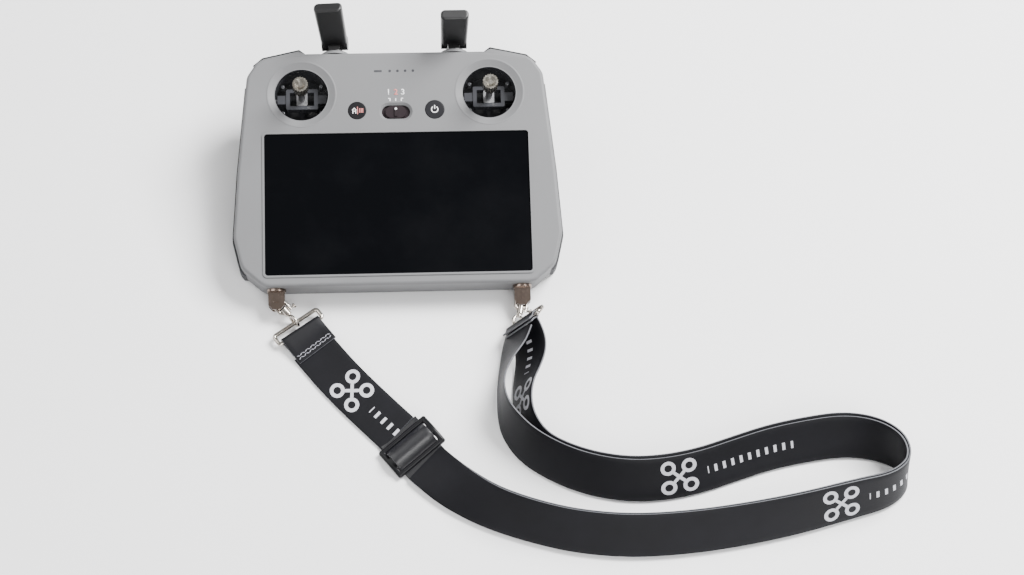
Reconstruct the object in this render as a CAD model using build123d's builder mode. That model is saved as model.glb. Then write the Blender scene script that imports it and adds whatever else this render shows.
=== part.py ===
# Hand-held radio transmitter controller with a screen in its face and a neck lanyard on the table in front of it.
# Millimetres. +Z is up, the controller rests on its two grips, and the sticks face up and towards -Y.
# The face is a tilted panel: u runs across it, v runs up it from its bottom edge, and w stands out of it.
import os
from math import cos, radians, sin, sqrt, tan

from build123d import *

os.makedirs("parts", exist_ok=True)

# the panel's place
tilt = 18.0  # degrees between the face and the table
edge_y = -61.35  # bottom edge of the face, along Y
edge_z = 16.5  # and its height over the table

# casing
wall = 2.0
parting_w = -11.0  # where the face casing meets the rear casing
half_outline = [(0, 0), (68.5, 0), (80, 10), (83.8, 26), (81.5, 61), (76.6, 112), (70.5, 121), (46, 124), (0, 124)]
outline_radii = [9, 11, 14, 90, 8, 8, 30]
rear_profile = [(-5, parting_w), (-5, -16.8), (50, -16.8), (64, -31), (110, -31), (124.5, -20), (130, parting_w)]
grip_skin = 1.0  # the grips stand out past the casing all round
grip_from_u = 48.0
grip_profile = [(8, -8), (8, -19), (13, -21.57), (88, -45.94), (97, -44.5), (104, -38), (108, -30), (108, -8)]
grip_wall = 2.4

# screen
glass_size = (135.6, 74.7)
glass_v = 43.0
glass_thickness = 1.6
lcd_size = (124, 70)

# sticks
stick_u = 48.5
stick_v = 101.7
well_radius = 13.8
well_chamfer_radius = 17.2
well_box = 30.0
well_floor_w = -22.5
pivot_w = -11.0
pivot_radius = 1.05
stick_top_w = 16.5
head_radius = 4.0

# buttons, switch and lights on the face
button_u = 20.0
button_v = 92.4
home_radius = 4.65
power_radius = 4.95
button_gap = 0.15
switch_v = 91.6
switch_slot = (14.6, 7.2)
knob_size = (10.8, 6.4)
light_v = 113.6
light_dash_u = -8.9
light_dots_u = (-2.8, 1.2, 5.2, 9.2)

# screws
grip_screws = [(u, v) for u in (-74.5, 74.5) for v in (22, 45)]
top_screws = [(-20, 119.3), (20, 119.3)]

# top corners
shoulder_slope = 12.5  # degrees
dial_radius = 7.0
dial_width = 4.6
dial_u, dial_v, dial_w = 66.6, 112.1, -23.4
rear_button_uv = (40.0, 74.0)

# antennas
antenna_u = 31.0
antenna_w = -7.5
knuckle_v = 131.5
knuckle_radius = 3.6
antenna_width = 13.4
antenna_length = 30.0
antenna_lean = {"left": 70.0, "right": 81.0}  # out of the panel
antenna_turn = {"left": 6.0, "right": 0.0}

# lanyard
bracket_u = 62.5
bracket_w = -7.5
bracket_pin_v = -6.2
strap_width = 23.5
strap_thickness = 0.9
ring_wire = 1.1
ring_size = (28.6, 7.8)
ring_corner = 1.4
ring_centre = {"left": (-51.7, -77.87, 3.9), "right": (62.65, -81.9, 13.1)}
ring_long = {"left": (0.817, 0.575, 0.05), "right": (0.56, -0.04, 0.83)}  # along the bar that the strap folds over
ring_short = {"left": (-0.575, 0.817, 0.05), "right": (0.5, 0.82, -0.3)}  # from the strap to the hook
hook_wire = 0.9
hook_half_width = 2.7
eye_radius = 3.1
eye_centre = {"left": (-53.6, -74.7, 4.7), "right": (59.9, -78.5, 5.3)}
slider_centre = (4.3, -148.6, 5.1)
slider_long = (0.78, 0.58, 0.24)
slider_along = (0.6, -0.8, 0.0)
slider_size = (29.5, 17.5, 2.6)

# Routes of the strap's three stretches. Each row is a place on the table under the middle of the strap's width, how far
# the strap is lifted off the table there, and the X and Y parts of its width's direction: (0, 0) stands on edge.
left_route = [
    (-44.6, -89.3, 0.0, 0.80, 0.57), (-36.5, -100.8, 0.0, 0.80, 0.56), (-28.0, -111.8, 0.0, 0.79, 0.56),
    (-18.5, -122.8, 0.0, 0.78, 0.57), (-10.0, -132.3, 0.0, 0.77, 0.58), (-2.6, -140.3, 0.0, 0.77, 0.58),
]
inner_route = [
    (10.8, -157.1, 0.0, 0.76, 0.60), (19.0, -166.3, 0.0, 0.58, 0.70), (29.5, -175.7, 0.0, 0.34, 0.72),
    (43.0, -184.8, 0.0, 0.10, 0.66), (61.0, -192.3, 0.0, 0.0, 0.62), (82.0, -198.5, 0.0, 0.0, 0.62),
    (108.0, -201.8, 0.0, 0.0, 0.62), (136.0, -200.8, 0.0, 0.0, 0.61), (164.0, -197.3, 0.0, 0.0, 0.58),
    (192.0, -192.1, 0.0, 0.0, 0.52), (219.0, -185.1, 0.0, 0.0, 0.44), (235.5, -181.3, 0.0, 0.0, 0.36),
    (244.5, -174.6, 0.0, -0.06, 0.28), (245.8, -166.3, 0.0, -0.05, 0.25), (241.0, -158.6, 0.0, 0.0, 0.40),
    (230.5, -152.8, 0.0, 0.0, 0.55), (216.0, -150.6, 0.0, 0.0, 0.62), (198.0, -153.1, 0.0, 0.0, 0.62),
    (180.0, -156.9, 0.0, 0.0, 0.62), (163.0, -162.5, 0.0, 0.0, 0.62), (145.0, -168.7, 0.0, 0.0, 0.62),
    (127.0, -172.2, 0.0, 0.0, 0.62), (109.0, -172.7, 0.0, 0.0, 0.60), (90.5, -168.9, 0.0, 0.0, 0.58),
    (75.0, -162.1, 0.0, 0.0, 0.56), (61.5, -152.9, 0.0, 0.12, 0.50), (53.0, -141.8, 0.0, 0.18, 0.34),
    (49.2, -131.3, 0.0, 0.14, 0.12), (48.8, -120.3, 0.0, 0.10, -0.04), (51.6, -109.1, 0.0, 0.26, -0.04),
    (55.4, -99.3, 1.0, 0.48, -0.04), (58.0, -92.1, 2.6, 0.56, -0.06),
]
outer_tail = [
    (67.0, -153.9, 0.0, 0.12, 0.50), (61.4, -144.1, 0.0, 0.25, 0.36), (59.2, -133.3, 0.0, 0.34, 0.16),
    (59.9, -122.1, 0.0, 0.42, 0.04), (62.8, -110.9, 0.0, 0.58, 0.0), (65.2, -100.7, 1.0, 0.64, -0.02),
    (64.6, -92.3, 2.6, 0.62, -0.06),
]
shared_points = 25  # the outer layer follows the inner one this far, then goes its own way to the ring
layer_gap = 1.5  # between the middles of the two layers


def panel_point(u, v, w):
    a = radians(tilt)
    return Vector(u, edge_y + v * cos(a) - w * sin(a), edge_z + v * sin(a) + w * cos(a))


across = Vector(1, 0, 0)
up_panel = Vector(0, cos(radians(tilt)), sin(radians(tilt)))
out_of_panel = Vector(0, -sin(radians(tilt)), cos(radians(tilt)))
panel = Plane(origin=panel_point(0, 0, 0), x_dir=across, z_dir=out_of_panel)  # sketches in (u, v)
side_view = Plane(origin=panel_point(0, 0, 0), x_dir=up_panel, z_dir=across)  # sketches in (v, w)


def save(builder, name):
    builder.part.label = name
    export_step(builder.part, f"parts/{name}.step")


def outline(grow=0.0):
    # the casing's outline, grown or shrunk all round
    with BuildSketch() as face:
        with BuildLine():
            half = FilletPolyline(*half_outline, radius=outline_radii)
            mirror(half, about=Plane.YZ)
        make_face()
        if grow:
            offset(amount=grow, kind=Kind.INTERSECTION)
    return face.sketch


def slab(low_w, high_w, grow=0.0):
    # the whole outline between two heights over the panel
    with BuildPart() as plate:
        with BuildSketch(panel.offset(low_w)):
            add(outline(grow))
        extrude(amount=high_w - low_w)
    return plate.part


def side_prism(points, from_u, to_u):
    # a side view in (v, w), drawn out across the panel
    with BuildPart() as prism:
        with BuildSketch(side_view.offset(from_u)):
            with BuildLine():
                Polyline(*points, close=True)
            make_face()
        extrude(amount=to_u - from_u)
    return prism.part


def block(u, v, low_w, size_u, size_v, height, radius=0.0):
    # a block that stands on the panel plane at low_w
    with BuildPart() as solid:
        with BuildSketch(panel.offset(low_w)):
            with Locations((u, v)):
                if radius:
                    RectangleRounded(size_u, size_v, radius)
                else:
                    Rectangle(size_u, size_v)
        extrude(amount=height)
    return solid.part


def disc(u, v, low_w, radius, height, top_radius=None):
    # a round piece, or a cone if it has a top radius, that stands on the panel plane at low_w
    with BuildPart() as solid:
        with BuildSketch(panel.offset(low_w)):
            with Locations((u, v)):
                Circle(radius)
        if top_radius is None:
            extrude(amount=height)
        else:
            with BuildSketch(panel.offset(low_w + height)):
                with Locations((u, v)):
                    Circle(top_radius)
            loft()
    return solid.part


def slot_block(u, v, low_w, length, width, height, top_grow=0.0):
    # a block with round ends, wider at the top if it grows
    with BuildPart() as solid:
        with BuildSketch(panel.offset(low_w)):
            with Locations((u, v)):
                SlotOverall(length, width)
        if top_grow:
            with BuildSketch(panel.offset(low_w + height)):
                with Locations((u, v)):
                    SlotOverall(length + top_grow, width + top_grow)
            loft()
        else:
            extrude(amount=height)
    return solid.part


def rod(start, end, radius):
    # a round bar between two points
    start, end = Vector(start), Vector(end)
    with BuildPart() as bar:
        with BuildSketch(Plane(origin=start, z_dir=end - start)):
            Circle(radius)
        extrude(amount=(end - start).length)
    return bar.part


# ---------------------------------------------------------------- casing


def dial_centre(u):
    return panel_point(u, dial_v, dial_w)


rear_outer = slab(-50, parting_w) & side_prism(rear_profile, -90, 90)
rear_inner_profile = [(-5, 0), (-5, -14.6), (51, -14.6), (65, -28.8), (109, -28.8), (122, -18.8), (122, 0)]
rear_inner = slab(-50, parting_w, -wall - 0.2) & side_prism(rear_inner_profile, -90, 90)

with BuildPart() as front_shell:
    with BuildSketch(panel.offset(parting_w)):
        add(outline())
    extrude(amount=-parting_w)
    top_face = front_shell.faces().sort_by(Axis(panel.origin, out_of_panel))[-1]
    fillet(top_face.edges(), 1.8)
    add(slab(parting_w, -wall, -wall), mode=Mode.SUBTRACT)
    for u, v in grip_screws + top_screws:
        add(disc(u, v, parting_w, 2.4, -parting_w - wall))
        add(disc(u, v, parting_w, 1.0, 6), mode=Mode.SUBTRACT)
    for u in (-25, 25):
        for v in (86, 113):
            add(disc(u, v, -6.2, 1.5, 6.2 - wall))
    for u in (-antenna_u, antenna_u):
        add(rod(panel_point(u, 119, antenna_w), panel_point(u, 126, antenna_w), 2.5), mode=Mode.SUBTRACT)
    for u in (-bracket_u, bracket_u):  # solid seats for the studs of the lanyard brackets
        add(block(u, 4.5, -10.5, 10, 6, 10.5 - wall))
        add(rod(panel_point(u, -1, bracket_w), panel_point(u, 6.2, bracket_w), 2.05), mode=Mode.SUBTRACT)
    add(block(0, glass_v, 0, glass_size[0] + 2.2, glass_size[1] + 2.2, 0.5, radius=2.4))
    add(block(0, glass_v, -wall, glass_size[0] + 0.1, glass_size[1] + 0.1, wall + 0.5, radius=1.5), mode=Mode.SUBTRACT)
    for u in (-stick_u, stick_u):
        add(disc(u, stick_v, -wall, well_radius, wall), mode=Mode.SUBTRACT)
        add(disc(u, stick_v, -1.2, well_radius + 0.4, 1.2, top_radius=well_chamfer_radius), mode=Mode.SUBTRACT)
    add(disc(-button_u, button_v, -wall, home_radius + button_gap, wall), mode=Mode.SUBTRACT)
    add(disc(button_u, button_v, -wall, power_radius + button_gap, wall), mode=Mode.SUBTRACT)
    add(slot_block(0, switch_v, -wall, *switch_slot, wall), mode=Mode.SUBTRACT)
    add(slot_block(0, switch_v, -1.0, *switch_slot, 1.0, top_grow=2.6), mode=Mode.SUBTRACT)
    add(block(light_dash_u, light_v, -wall, 4.0, 1.1, wall), mode=Mode.SUBTRACT)
    for u in light_dots_u:
        add(disc(u, light_v, -wall, 0.7, wall), mode=Mode.SUBTRACT)
save(front_shell, "front_shell")

with BuildPart() as rear_shell:
    add(rear_outer)
    add(rear_inner, mode=Mode.SUBTRACT)
    for u, v in grip_screws:
        add(disc(u, v, -14.6, 3.6, 3.6))
        add(disc(u, v, -16.8, 2.7, 1.8), mode=Mode.SUBTRACT)
        add(disc(u, v, -16.8, 1.35, 6), mode=Mode.SUBTRACT)
    for u, v in top_screws:
        add(disc(u, v, -26, 3.9, 26 + parting_w) & rear_outer)
        add(disc(u, v, -31, 2.7, 12.0), mode=Mode.SUBTRACT)
        add(disc(u, v, -31, 1.35, 21), mode=Mode.SUBTRACT)
    for u in (-dial_u, dial_u):
        half_slot = dial_width / 2 + 0.4
        wheel_room = rod(dial_centre(u - half_slot), dial_centre(u + half_slot), dial_radius + 0.5)
        add(wheel_room, mode=Mode.SUBTRACT)
    for u in (-rear_button_uv[0], rear_button_uv[0]):
        add(disc(u, rear_button_uv[1], -31, 3.7, 2.4), mode=Mode.SUBTRACT)
    for u in range(-21, 22, 6):  # cooling slots
        add(block(u, 92, -31, 2.4, 22, 2.4, radius=1.1), mode=Mode.SUBTRACT)
    add(block(0, 121, -15.8, 9.2, 8, 3.4), mode=Mode.SUBTRACT)  # opening for the charging socket
save(rear_shell, "rear_shell")

for side, sign in (("left", -1), ("right", 1)):
    near, far = sorted((sign * grip_from_u, sign * 95))
    inner_near, inner_far = sorted((sign * (grip_from_u + grip_wall), sign * 95))
    grip_inner_profile = [(10.6, -8), (10.6, -17.2), (14.2, -19.2), (88, -43.3), (96, -42), (102, -36.4),
                          (105.6, -29.6), (105.6, -8)]
    outer = slab(-50, -8, grip_skin) & side_prism(grip_profile, near, far)
    inner = slab(-50, -8, grip_skin - grip_wall) & side_prism(grip_inner_profile, inner_near, inner_far)
    with BuildPart() as grip:
        add(outer)
        add(inner, mode=Mode.SUBTRACT)
        add(rear_outer, mode=Mode.SUBTRACT)
        add(slab(parting_w, 0), mode=Mode.SUBTRACT)
    save(grip, f"grip_{side}")

with BuildPart() as housing_screw_group:
    for u, v in grip_screws:
        add(disc(u, v, -16.7, 2.4, 1.6))
        add(disc(u, v, -15.1, 1.0, 9.0))
save(housing_screw_group, "housing_screws")

with BuildPart() as top_screw_group:
    for u, v in top_screws:
        add(disc(u, v, -20.6, 2.4, 1.6))
        add(disc(u, v, -19.0, 1.0, 13.0))
save(top_screw_group, "top_screws")

# ---------------------------------------------------------------- screen and electronics
with BuildPart() as screen_glass:
    with BuildSketch(panel.offset(-0.2 - glass_thickness)):
        with Locations((0, glass_v)):
            RectangleRounded(*glass_size, 1.45)
    extrude(amount=glass_thickness)
    top_face = screen_glass.faces().sort_by(Axis(panel.origin, out_of_panel))[-1]
    chamfer(top_face.edges(), 0.25)
save(screen_glass, "screen_glass")

with BuildPart() as lcd_panel:
    add(block(0, glass_v, -4.4, *lcd_size, 2.6))
save(lcd_panel, "lcd_panel")

board_posts = [(u, v) for u in (-58, 0, 58) for v in (14, 70)]
with BuildPart() as mid_frame:
    add(block(0, 44.5, -5.8, 136, 71, 1.4, radius=4))
    for u, v in board_posts:
        add(disc(u, v, -7.0, 2.5, 1.2))
save(mid_frame, "mid_frame")

with BuildPart() as main_board:
    add(block(0, 42, -8.4, 128, 64, 1.4, radius=2))
    for u, v, size_u, size_v in ((-34, 44, 22, 22), (6, 44, 16, 16), (38, 48, 26, 18), (36, 24, 14, 10)):
        add(block(u, v, -10.2, size_u, size_v, 1.8))
save(main_board, "main_board")

with BuildPart() as button_board:
    add(block(0, 99.5, -7.4, 54, 31, 1.2, radius=2))
    for u in (-button_u, button_u):
        add(block(u, button_v, -6.2, 5, 5, 1.4))
    add(block(0, switch_v, -6.2, 12, 5, 1.6))
    for u in (light_dash_u,) + light_dots_u:
        add(block(u, light_v, -6.2, 1.6, 1.2, 0.8))
save(button_board, "button_board")

with BuildPart() as battery_pack:
    add(block(0, 87.5, -28.8, 54, 40, 16.0, radius=3))
save(battery_pack, "battery_pack")

with BuildPart() as speaker:
    add(block(0, 24, -14.6, 40, 18, 4.0, radius=3))
save(speaker, "speaker")

with BuildPart() as led_light_pipes:
    add(block(light_dash_u, light_v, -3.4, 4.0, 1.1, 3.45))
    for u in light_dots_u:
        add(disc(u, light_v, -3.4, 0.7, 3.45))
save(led_light_pipes, "led_light_pipes")

with BuildPart() as usb_port:
    add(block(0, 120.2, -15.7, 9.0, 7.4, 3.2))
    with BuildSketch(Plane(origin=panel_point(0, 123.9, -14.1), x_dir=across, z_dir=up_panel * -1)):
        SlotOverall(8.4, 2.6)
    extrude(amount=6, mode=Mode.SUBTRACT)
save(usb_port, "usb_port")

# ---------------------------------------------------------------- sticks
for side, sign in (("left", -1), ("right", 1)):
    u0 = sign * stick_u
    with BuildPart() as stick_well:
        add(block(u0, stick_v, well_floor_w, well_box, well_box, -well_floor_w - wall))
        add(disc(u0, stick_v, well_floor_w + 2.4, well_radius, 30), mode=Mode.SUBTRACT)
        add(rod(panel_point(u0 - 14.9, stick_v, pivot_w), panel_point(u0 + 14.9, stick_v, pivot_w),
                pivot_radius + 0.05), mode=Mode.SUBTRACT)
    save(stick_well, f"stick_well_{side}")

    with BuildPart() as stick_yoke:
        add(block(u0, stick_v, pivot_w - 2.0, 25.4, 4.6, 4.0))
        add(block(u0, stick_v, pivot_w - 2.5, 16.5, 11.0, 5.0, radius=0.8))
        add(block(u0, stick_v, pivot_w - 3.0, 12.5, 7.2, 6.0), mode=Mode.SUBTRACT)
        for end in (-1, 1):
            add(rod(panel_point(u0 + end * 12.0, stick_v, pivot_w), panel_point(u0 + end * 14.7, stick_v, pivot_w),
                    pivot_radius))
            add(rod(panel_point(u0, stick_v + end * 3.0, pivot_w), panel_point(u0, stick_v + end * 6.0, pivot_w),
                    0.85), mode=Mode.SUBTRACT)
    save(stick_yoke, f"stick_yoke_{side}")

    with BuildPart() as stick_post:
        add(block(u0, stick_v, pivot_w - 2.4, 5.6, 6.8, 4.8, radius=0.6))
        add(rod(panel_point(u0, stick_v - 5.3, pivot_w), panel_point(u0, stick_v + 5.3, pivot_w), 0.8))
        add(disc(u0, stick_v, pivot_w, 1.7, stick_top_w - 3 - pivot_w))
    save(stick_post, f"stick_post_{side}")

    with BuildPart() as stick_head:
        add(disc(u0, stick_v, 6.4, 2.6, 2.0, top_radius=head_radius - 0.5))
        add(disc(u0, stick_v, 8.4, head_radius, stick_top_w - 8.4))
        add(disc(u0, stick_v, stick_top_w - 1.2, 1.4, 1.2, top_radius=2.9), mode=Mode.SUBTRACT)
        with BuildSketch(panel.offset(8.4)):
            with Locations((u0, stick_v)):
                with PolarLocations(head_radius + 0.15, 18):
                    Circle(0.45)
        extrude(amount=stick_top_w - 8.4, mode=Mode.SUBTRACT)
        add(disc(u0, stick_v, 6.0, 1.73, stick_top_w - 3 - 6.0), mode=Mode.SUBTRACT)
    save(stick_head, f"stick_head_{side}")

# ---------------------------------------------------------------- buttons, switch and dials
for name, u0, radius in (("home_pause_button", -button_u, home_radius), ("power_button", button_u, power_radius)):
    with BuildPart() as button:
        add(disc(u0, button_v, -2.2, radius, 2.4))
        rim = button.faces().sort_by(Axis(panel.origin, out_of_panel))[-1].edges()
        fillet(rim, 0.3)
        add(disc(u0, button_v, -3.1, radius + 0.9, 0.9))
        add(disc(u0, button_v, -4.0, 1.4, 0.9))
    save(button, name)

with BuildPart() as mode_switch_knob:
    add(slot_block(0, switch_v, -2.2, *knob_size, 1.6))
    add(block(0, switch_v, -0.6, 1.4, knob_size[1] - 1.6, 0.7))
    add(block(0, switch_v, -3.4, 16.4, 8.6, 1.2, radius=1.0))
    add(block(0, switch_v, -4.4, 3.0, 2.0, 1.0))
save(mode_switch_knob, "mode_switch_knob")

for side, sign, name in (("left", -1, "record_button"), ("right", 1, "shutter_button")):
    lean = radians(sign * shoulder_slope)
    top_normal = across * sin(lean) + up_panel * cos(lean)
    shoulder_points = [(46.5, 119), (46.5, 124.6), (49.5, 126.9), (68.5, 122.7), (73.4, 118.6), (70, 112)]
    with BuildPart() as shoulder:
        with BuildSketch(panel.offset(-17.5)):
            with BuildLine():
                Polyline(*[(sign * u, v) for u, v in shoulder_points], close=True)
            make_face()
        extrude(amount=14.5)
        add(slab(-60, 10), mode=Mode.SUBTRACT)
        pad = Plane(origin=panel_point(sign * 58.5, 124.9, -10.5), x_dir=out_of_panel, z_dir=top_normal)
        with BuildSketch(pad.offset(-2.1)):
            SlotOverall(9.4, 5.4)
        extrude(amount=6, mode=Mode.SUBTRACT)
    save(shoulder, f"shoulder_{side}")
    with BuildPart() as top_button:
        with BuildSketch(pad.offset(-1.1)):
            SlotOverall(9.1, 5.1)
        extrude(amount=1.9)
    save(top_button, name)

    with BuildPart() as dial:
        with BuildSketch(Plane(origin=dial_centre(sign * dial_u - dial_width / 2), x_dir=up_panel, z_dir=across)):
            Circle(dial_radius)
            with PolarLocations(dial_radius + 0.2, 36):
                Circle(0.45, mode=Mode.SUBTRACT)
            Circle(1.55, mode=Mode.SUBTRACT)
        extrude(amount=dial_width)
    save(dial, f"dial_{side}")
    with BuildPart() as dial_axle:
        add(rod(dial_centre(sign * (dial_u - 2.9)), dial_centre(sign * (dial_u + 3.1)), 1.5))
        add(rod(dial_centre(sign * (dial_u + 2.6)), dial_centre(sign * (dial_u + 3.4)), 3.4))
    save(dial_axle, f"dial_axle_{side}")

    with BuildPart() as rear_button:
        add(disc(sign * rear_button_uv[0], rear_button_uv[1], -31.9, 3.5, 3.2))
        add(disc(sign * rear_button_uv[0], rear_button_uv[1], -28.7, 4.4, 0.9))
    save(rear_button, f"rear_button_{side}")

# ---------------------------------------------------------------- antennas
for side, sign in (("left", -1), ("right", 1)):
    u0 = sign * antenna_u
    root = panel_point(u0, 124, antenna_w)
    knuckle = panel_point(u0, knuckle_v, antenna_w)
    turn = radians(antenna_turn[side])
    hinge_line = across * cos(turn) + out_of_panel * (sign * -sin(turn))
    flat_out = out_of_panel * cos(turn) + across * (sign * sin(turn))
    lean = radians(antenna_lean[side])
    blade_dir = up_panel * cos(lean) + flat_out * sin(lean)

    with BuildPart() as antenna_base:
        with BuildSketch(Plane(origin=root + up_panel * 0.1, x_dir=hinge_line, z_dir=up_panel)):
            Circle(5.4)
        extrude(amount=2.3)
        with BuildSketch(Plane(origin=root, x_dir=hinge_line, z_dir=up_panel)):
            Rectangle(6.0, 6.4)
        extrude(amount=knuckle_v - 124)
        with BuildSketch(Plane(origin=knuckle - hinge_line * 3.0, x_dir=up_panel, z_dir=hinge_line)):
            Circle(knuckle_radius - 0.4)
        extrude(amount=6.0)
        with BuildSketch(Plane(origin=root - up_panel * 3.4, x_dir=hinge_line, z_dir=up_panel)):
            Circle(2.45)
        extrude(amount=3.4)
        add(rod(knuckle - hinge_line * 4, knuckle + hinge_line * 4, 1.2), mode=Mode.SUBTRACT)
    save(antenna_base, f"antenna_base_{side}")

    with BuildPart() as antenna_pin:
        add(rod(knuckle - hinge_line * 6.2, knuckle + hinge_line * 6.2, 1.2))
    save(antenna_pin, f"antenna_pin_{side}")

    with BuildPart() as antenna_blade:
        with BuildSketch(Plane(origin=knuckle - hinge_line * (antenna_width / 2), x_dir=up_panel, z_dir=hinge_line)):
            Circle(knuckle_radius)
        extrude(amount=antenna_width)
        with BuildSketch(Plane(origin=knuckle + blade_dir * 1.0, x_dir=hinge_line, z_dir=blade_dir)):
            RectangleRounded(antenna_width, 6.6, 2.0)
        with BuildSketch(Plane(origin=knuckle + blade_dir * antenna_length, x_dir=hinge_line, z_dir=blade_dir)):
            RectangleRounded(antenna_width + 1.2, 5.8, 2.4)
        loft()
        tip = antenna_blade.faces().sort_by(Axis(knuckle, blade_dir))[-1].edges()
        fillet(tip, 1.2)
        with BuildSketch(Plane(origin=knuckle - hinge_line * 3.2, x_dir=up_panel, z_dir=hinge_line)):
            Circle(knuckle_radius + 1.2)
        extrude(amount=6.4, mode=Mode.SUBTRACT)
        add(rod(knuckle - hinge_line * 6.3, knuckle + hinge_line * 6.3, 1.25), mode=Mode.SUBTRACT)
    save(antenna_blade, f"antenna_blade_{side}")

# ---------------------------------------------------------------- lanyard hardware
for side, sign in (("left", -1), ("right", 1)):
    u0 = sign * bracket_u
    pin = panel_point(u0, bracket_pin_v, bracket_w)
    with BuildPart() as strap_bracket:
        add(rod(panel_point(u0, -1.5, bracket_w), panel_point(u0, -0.1, bracket_w), 4.9))
        add(rod(panel_point(u0, -0.5, bracket_w), panel_point(u0, 5.8, bracket_w), 2.0))
        for w in (bracket_w - 2.95, bracket_w + 1.85):
            with BuildSketch(panel.offset(w)):
                with BuildLine():
                    Polyline((u0 - 4.1, -1.2), (u0 - 4.1, -8.4), (u0 - 2.0, -10.7), (u0 + 2.0, -10.7),
                             (u0 + 4.1, -8.4), (u0 + 4.1, -1.2), close=True)
                make_face()
            extrude(amount=1.1)
        add(rod(pin - out_of_panel * 4, pin + out_of_panel * 4, 1.1), mode=Mode.SUBTRACT)
    save(strap_bracket, f"strap_bracket_{side}")
    with BuildPart() as bracket_pin:
        add(rod(pin - out_of_panel * 3.3, pin + out_of_panel * 3.3, 1.1))
    save(bracket_pin, f"bracket_pin_{side}")

    eye = Vector(eye_centre[side])
    along = (eye - pin).normalized()
    bar_line = Vector(ring_long[side]).normalized()
    flat_normal = (out_of_panel - along * out_of_panel.dot(along)).normalized()
    clip = Plane(origin=pin, x_dir=along, z_dir=flat_normal)
    half = hook_half_width
    pin_to_eye = (eye - pin).length
    gate_line = clip.y_dir * half
    with BuildPart() as hook:
        with BuildLine(clip):
            Line((6.0, -half), (-0.7, -half))
            ThreePointArc((-0.7, -half), (-0.7 - half, 0), (-0.7, half))
            Line((-0.7, half), (0.6, half))
        with BuildSketch(Plane(origin=pin + along * 6.0 - gate_line, z_dir=along * -1)):
            Circle(hook_wire)
        sweep()
        add(rod(pin + along * 5.8 - gate_line, pin + along * 7.4 - gate_line * 0.4, hook_wire))
        add(rod(pin + along * 5.4, pin + along * 9.4, 1.75))
        add(rod(pin + along * 5.2 + gate_line, pin + along * 6.3 + gate_line, 1.3))
        add(rod(pin + along * 5.0 + gate_line, pin + along * 7.2 + gate_line, 0.8), mode=Mode.SUBTRACT)
        add(rod(pin + along * 6.4, pin + along * 11, 0.9), mode=Mode.SUBTRACT)
    save(hook, f"hook_{side}")

    with BuildPart() as hook_gate:
        add(rod(pin + along * 1.1 + gate_line, pin + along * 8.0 + gate_line, 0.75))
        add(rod(pin + along * 7.4 + gate_line, pin + along * 7.4 + gate_line * 2.0, 0.7))
        with BuildSketch(Plane(origin=pin + along * 7.4 + gate_line * 1.75, x_dir=along, z_dir=clip.y_dir)):
            Circle(1.3)
        extrude(amount=1.0)
    save(hook_gate, f"hook_gate_{side}")

    eye_normal = (bar_line - along * bar_line.dot(along)).normalized()
    with BuildPart() as swivel_eye:
        with BuildLine(Plane(origin=eye, x_dir=along, z_dir=eye_normal)):
            CenterArc((0, 0), eye_radius, 0, 360)
        with BuildSketch(Plane(origin=eye + along * eye_radius, x_dir=along, z_dir=along.cross(eye_normal))):
            Circle(0.8)
        sweep()
        add(rod(pin + along * 6.8, pin + along * (pin_to_eye - eye_radius), 0.85))
    save(swivel_eye, f"swivel_eye_{side}")

    centre = Vector(ring_centre[side])
    short_line = Vector(ring_short[side])
    short_line = (short_line - bar_line * short_line.dot(bar_line)).normalized()
    ring_plane = Plane(origin=centre, x_dir=bar_line, z_dir=bar_line.cross(short_line))
    long_half, short_half = ring_size[0] / 2 - ring_wire, ring_size[1] / 2 - ring_wire
    with BuildSketch(ring_plane) as ring_outline:
        RectangleRounded(2 * long_half, 2 * short_half, ring_corner)
    ring_path = ring_outline.sketch.wires()[0]
    with BuildPart() as strap_ring:
        with BuildSketch(Plane(origin=ring_path @ 0, z_dir=ring_path % 0)):
            Circle(ring_wire)
        sweep(path=ring_path)
    save(strap_ring, f"strap_ring_{side}")

    bar = centre - short_line * short_half
    fold_radius = ring_wire + 0.1 + strap_thickness
    fold_length = {"left": 9.6, "right": 4.6}[side]
    with BuildPart() as strap_fold:
        add(rod(bar - bar_line * (strap_width / 2), bar + bar_line * (strap_width / 2), fold_radius))
        with BuildSketch(Plane(origin=bar, x_dir=bar_line, z_dir=short_line * -1)):
            Rectangle(strap_width, 2.2)
        extrude(amount=fold_length)
        add(rod(bar - bar_line * 20, bar + bar_line * 20, ring_wire + 0.1), mode=Mode.SUBTRACT)
    save(strap_fold, f"strap_fold_{side}")

slider_normal = Vector(slider_long).cross(Vector(slider_along)).normalized()
slider_plane = Plane(origin=slider_centre, x_dir=slider_long, z_dir=slider_normal)
with BuildPart() as slider:
    with BuildSketch(slider_plane.offset(-slider_size[2] / 2)):
        RectangleRounded(slider_size[0], slider_size[1], 2.5)
        with Locations((0, 4.3), (0, -4.3)):
            Rectangle(strap_width + 1.0, 4.0, mode=Mode.SUBTRACT)
    extrude(amount=slider_size[2])
save(slider, "slider")

# ---------------------------------------------------------------- strap


def corner_radii(points):
    # each bend's radius is 0.45 of its shorter run, over the tangent of half the turn
    radii = []
    for before, corner, after in zip(points, points[1:], points[2:]):
        first, second = corner - before, after - corner
        turn = radians(first.get_angle(second))
        radii.append(0.45 * min(first.length, second.length) / tan(turn / 2))
    return radii


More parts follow.
